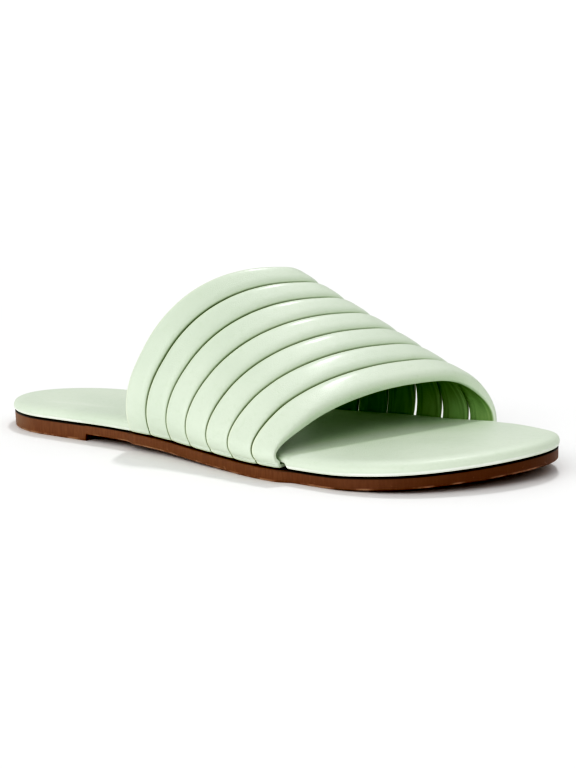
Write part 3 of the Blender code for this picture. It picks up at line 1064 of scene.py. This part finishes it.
def footbed():
    ring, normal, sign = outline_ring(side_steps(REBATE_SPREAD, REBATE_SLOPE))
    x = ring[:, 0]
    centre = middle_line(x)
    rebate = TAB_THICKNESS + FIT
    depth = rebate * side_window(x, sign, REBATE_SPREAD, REBATE_SLOPE)
    reach = TAB_LENGTH + 2 * FIT
    rings, rises = [], []

    def add_ring(flat, seat_at, lift, rise):
        rings.append(np.column_stack([flat, outsole_top(seat_at[:, 0]) + FIT + lift]))
        rises.append(rise)

    add_ring(centre, centre, 0, 0)
    add_ring(ring - normal * (reach + rebate), ring, 0, 0)
    add_ring(ring - normal * reach, ring, depth, 0)
    for step in np.linspace(0, EDGE_ROLL[-1, 0], EDGE_STEPS):
        share = smooth_curve(EDGE_ROLL, RISE, step)
        flat = ring - normal * FOOTBED_THICKNESS * smooth_curve(EDGE_ROLL, INSET, step)
        add_ring(flat, flat, depth + (FOOTBED_THICKNESS - depth) * share, share)
    edge = rings[-1][:, :2]
    for share in np.arange(1, TOP_RINGS + 1) / TOP_RINGS:
        flat = edge + (centre - edge) * share
        add_ring(flat, flat, FOOTBED_THICKNESS + TOP_CROWN * share * (2 - share), 1)
    faces = bands(len(rings), len(ring))
    values = {"rise": ("POINT", np.repeat(rises, len(ring)))}
    return ring_piece("padded_footbed", rings, faces, footbed_leather, values, weld=True)


cushion = footbed()
measure(cushion)
dress(cushion, "footbed")

# %% [markdown]
# ## The outsole's rubber
# The sole is moulded brown rubber, and its cut wall is the only part that shows. Fine streaks run
# down it from the buffing wheel, painted shade darkens the toe, the lower edge is scuffed pale, and
# a near-black line runs along the top, faint where the wall flares. Below, a zigzag tread is bump
# alone. All follow three attributes: the share of the wall's height, the underside and the flare.

# %% Brown rubber
BROWN, BROWN_DARK, BROWN_WARM = (0.205, 0.108, 0.057), (0.176, 0.088, 0.046), (0.240, 0.135, 0.075)
# The toe colour is painted shade; the worn colour is scuffing
PAINTED_TOE_SHADE, BROWN_WORN = (0.110, 0.048, 0.026), (0.40, 0.26, 0.18)
# A near-black line along the top of the wall, and dust under the sole
TOP_LINE_DARK, DUST = (0.020, 0.014, 0.010), (0.30, 0.24, 0.20)
# Object X in metres where the painted toe shade starts and where it is full
TOE_SHADE_FROM, TOE_SHADE_TO = 0.025, 0.125
STREAK_SCALE, STREAK_STRETCH, STREAK_DEPTH = 1500.0, (1.0, 1.0, 0.12), 0.00004
WARM_SCALE, WORN_SCALE, SCUFF_SCALE, DUST_SCALE = 34.0, 160.0, 520.0, 30.0
TREAD_RATE, TREAD_ZIGZAG, TREAD_DEPTH = 400.0, 2.0, 0.00035
RUBBER_ROUGHNESS = 0.46


def brown_rubber():
    made, tree, shader = new_material("sole_rubber")
    place = object_place(tree)
    share, under, flare = (attribute(tree, name) for name in ("wall_share", "underside", "flare"))
    wall = 1 - under
    streaks = noise(vector_math("MULTIPLY", place, STREAK_STRETCH), STREAK_SCALE, 4.0)
    colour = mixed(streaks.ramp(0.38, 0.66), BROWN_DARK, BROWN)
    colour = mixed(noise(place, WARM_SCALE).ramp(0.45, 0.75) * 0.45, colour, BROWN_WARM)
    split = add_node(tree, "ShaderNodeSeparateXYZ", (), place)
    # Painted shade: the wall darkens toward the toe
    toe = number(split, "X").ramp(TOE_SHADE_FROM, TOE_SHADE_TO) * wall
    colour = mixed(toe * 0.75, colour, PAINTED_TOE_SHADE)
    worn = wall * (1 - share.ramp(0.0, 0.10)) * noise(place, WORN_SCALE, 3.0).ramp(0.42, 0.60)
    scuffs = wall * noise(place, SCUFF_SCALE, 4.0).ramp(0.64, 0.72) * (1 - share.ramp(0.10, 0.55))
    colour = mixed((worn * 0.75 + scuffs * 0.5).at_most(1.0), colour, BROWN_WORN)
    # A near-black line along the top of the wall, faint where it flares under the strap ends
    colour = mixed(share.ramp(0.90, 0.97) * (1 - flare * 0.9), colour, TOP_LINE_DARK)
    dust = noise(place, DUST_SCALE, 3.0).ramp(0.35, 0.85) * under
    colour = mixed(dust * 0.35, colour, DUST)
    roughness = RUBBER_ROUGHNESS + (streaks - 0.5) * 0.25 + under * 0.18
    across = number(split, "Y") * TREAD_RATE
    ribs = number(split, "X") * TREAD_RATE + across.math("PINGPONG", across, TREAD_ZIGZAG)
    ribs = ribs.math("PINGPONG", ribs, 0.5).ramp(0.10, 0.34)
    surface(shader, colour, roughness, streaks * STREAK_DEPTH + ribs * under * TREAD_DEPTH)
    return made


sole_rubber = brown_rubber()
print("rubber nodes:", len(sole_rubber.node_tree.nodes))

# %% [markdown]
# ## The outsole
# One thin moulding with a low heel step. Its wall stands straight above a small round, and flares
# out to carry the straps where they come down. The wall is a stack of rings again. Top and
# underside are strips straight across, so the breast of the heel, where the step ends, stays clean.

# %% The outsole
EDGE_ROUND = 0.0005
TOP_ROUND = 0.0003
OUTSOLE_INSET = 0.0004
FLARE_SPREAD = -0.0030
FLARE_SLOPE = 0.008
ROUND_STEPS = 4
WALL_STEPS = 12
WALL_ANGLE = math.radians(50)


def outsole_rings():
    """Rings from the underside's edge to the top's, each one's share of the wall, and the flare."""
    breast = (HEEL_BREAST, HEEL_BREAST + BREAST_SLOPE)
    ring, normal, sign = outline_ring(side_steps(FLARE_SPREAD, FLARE_SLOPE, breast))
    x = ring[:, 0]
    flare = side_window(x, sign, FLARE_SPREAD, FLARE_SLOPE)
    margin = flare * (FIT + SIDE_THICKNESS - EDGE_ROUND + OUTSOLE_INSET) - OUTSOLE_INSET
    edge = ring + normal * margin[:, None]
    bottom = np.where(x < HEEL_BREAST + BREAST_SLOPE / 2, 0, sheet_bottom(x))
    low, high = bottom + EDGE_ROUND, outsole_top(x) - TOP_ROUND
    quarter = np.linspace(0, math.pi / 2, ROUND_STEPS + 1)
    rings, shares = [], []

    def add_ring(inset, height, share):
        rings.append(np.column_stack([edge - normal * inset, height]))
        shares.append(share)

    for turn in quarter:
        add_ring(EDGE_ROUND * (1 - math.sin(turn)), low - EDGE_ROUND * math.cos(turn), 0.0)
    for share in np.linspace(0, 1, WALL_STEPS + 1)[1:-1]:
        add_ring(0.0, low + (high - low) * share, share)
    for turn in quarter:
        add_ring(TOP_ROUND * (1 - math.cos(turn)), high + TOP_ROUND * math.sin(turn), 1.0)
    return rings, shares, flare


def outsole():
    """The side wall from its rings, and top and underside as strips straight across."""
    rings, shares, flare = outsole_rings()
    count = len(rings[0])
    strips = count // 2
    faces = bands(len(rings), count)
    for start in (0, (len(rings) - 1) * count):
        for i in range(strips):
            corners = (i, i + 1, (count - i - 1) % count, (count - i) % count)
            faces.append(tuple(dict.fromkeys(start + corner for corner in corners)))
    under = np.zeros(len(faces))
    under[-2 * strips:-strips] = 1
    values = {
        "wall_share": ("POINT", np.repeat(shares, count)),
        "flare": ("POINT", np.tile(flare, len(rings))),
        "underside": ("FACE", under),
    }
    piece = ring_piece("moulded_outsole", rings, faces, sole_rubber, values)
    piece.data.set_sharp_from_angle(angle=WALL_ANGLE)
    return piece


sole = outsole()
measure(sole)
dress(sole, "outsole")

# %% [markdown]
# ## The photo's view
# The camera was solved together with the sandal's sizes, so it stands where the photographer stood:
# low, in front of the toe's outer side, and rolled by a little more than a degree. Its matrix is
# three turns, as on a tripod head: round the sandal, down toward it, and the roll.

# %% Camera
VIEW_AZIMUTH, VIEW_ELEVATION, VIEW_ROLL = 36.57, 8.515, 1.435
VIEW_DISTANCE, VIEW_ASIDE, VIEW_RISE = 0.41965, 0.01946, 0.02277
LENS_PIXELS, FRAME_PIXELS, SENSOR = 1065.0, 768.0, 36.0
VIEW_PIVOT = np.array([0.125, 0.0, 0.0]) + PLACE
NEAREST, FARTHEST = 0.01, 50.0


def camera():
    azimuth, elevation, roll = (math.radians(a) for a in (VIEW_AZIMUTH, VIEW_ELEVATION, VIEW_ROLL))
    turned = Matrix.Rotation(azimuth, 4, "Z") @ Matrix.Rotation(math.pi / 2 - elevation, 4, "X")
    right, back = np.array(turned)[:3, 0], np.array(turned)[:3, 2]
    eye = VIEW_PIVOT + VIEW_ASIDE * right + VIEW_RISE * UP + VIEW_DISTANCE * back
    data = bpy.data.cameras.new("camera")
    data.sensor_width = SENSOR
    data.lens = SENSOR * LENS_PIXELS / FRAME_PIXELS
    data.clip_start, data.clip_end = NEAREST, FARTHEST
    made = in_scene("camera", data)
    made.matrix_world = Matrix.Translation(eye) @ turned @ Matrix.Rotation(-roll, 4, "Z")
    bpy.context.scene.camera = made
    return made


print("camera at", [round(x, 3) for x in camera().matrix_world.translation])

# %% [markdown]
# ## A white floor and soft light
# A catalogue shot wants no horizon and no hard shadow. A dim white room gives the even part. A key
# light from above the far side throws the short shadow in front of the upper and shades the floor
# on the near side, and a broad low fill keeps the near flank bright. The camera alone sees a
# brighter backdrop, so the paper stays white. Last, a contrast curve closes the depths, as in print.

# %% Floor and light
FLOOR_HALF = 8.0
FLOOR_FINISH = {"Base Color": (0.93, 0.93, 0.93, 1), "Roughness": 0.6}
AMBIENT = 0.73
BACKDROP = 1.2
KEY = dict(strength=0.85, softness=6, azimuth=200, elevation=58)
FILL = dict(strength=1.9, softness=70, azimuth=-6, elevation=12)
PRINT_CURVE = ((0.10, 0.012), (0.30, 0.18), (0.62, 0.57))
ALL_COLOURS = 3


def floor():
    mesh = bpy.data.meshes.new("floor")
    corners = [(x * FLOOR_HALF, y * FLOOR_HALF, 0.0) for x, y in ((-1, -1), (1, -1), (1, 1), (-1, 1))]
    mesh.from_pydata(corners, [], [(0, 1, 2, 3)])
    made, tree, shader = new_material("floor_white")
    even(shader, FLOOR_FINISH)
    mesh.materials.append(made)
    in_scene("floor", mesh)


def sun(name, strength, softness, azimuth, elevation):
    """Sunlight with angles in degrees. An azimuth of 0 is the sandal's outer side."""
    data = bpy.data.lights.new(name, "SUN")
    data.energy, data.angle = strength, math.radians(softness)
    in_scene(name, data).rotation_euler = (math.radians(90 - elevation), 0, math.radians(azimuth))


def studio_world():
    """The camera sees a white backdrop, and the sandal gets a dimmer light from all round."""
    world = bpy.data.worlds.new("studio")
    world.use_nodes = True
    tree = world.node_tree
    seen = number(add_node(tree, "ShaderNodeLightPath"), "Is Camera Ray")
    shine = tree.nodes["Background"]
    shine.inputs["Color"].default_value = (1, 1, 1, 1)
    plug(tree, seen * (BACKDROP - AMBIENT) + AMBIENT, shine.inputs["Strength"])
    bpy.context.scene.world = world


def grade():
    """A contrast curve as in a printed catalogue: the depths close, and the lights stay."""
    settings = bpy.context.scene.view_settings
    settings.view_transform = "Standard"
    settings.use_curve_mapping = True
    curve = settings.curve_mapping.curves[ALL_COLOURS]
    for low, high in PRINT_CURVE:
        curve.points.new(low, high)
    settings.curve_mapping.update()


studio_world()
grade()
floor()
sun("key", **KEY)
sun("fill", **FILL)
print("lights:", [light.name for light in bpy.data.lights])

# %% [markdown] ## The finished sandal The visual model may be a little fuller than the solids.
